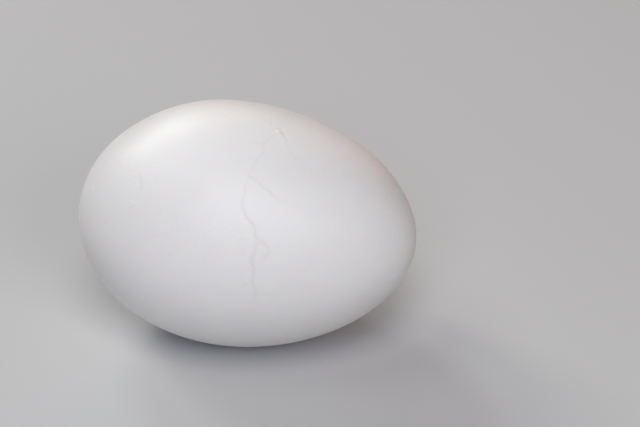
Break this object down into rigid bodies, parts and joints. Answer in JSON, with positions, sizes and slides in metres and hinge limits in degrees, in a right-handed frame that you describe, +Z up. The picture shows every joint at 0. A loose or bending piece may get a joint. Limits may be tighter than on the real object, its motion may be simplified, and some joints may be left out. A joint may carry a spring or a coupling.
{
  "type": "hard-boiled egg",
  "caption": "Whole hard-boiled hen's egg in a white shell, lying on its side on a small flat spot, with fine branching cracks.",
  "frame": {"origin": "centre of the small flat resting spot under the egg, which the centre of mass stands over", "axes": "+X towards the pointed end, level, with the long axis in the XZ plane and tipped 4 degrees down towards +X; +Y across; +Z up"},
  "size_m": [0.0599, 0.0434, 0.043],
  "materials": {
    "eggshell": "satin"
  },
  "bodies": {
    "root": {"egg": "eggshell"}
  },
  "joints": []
}
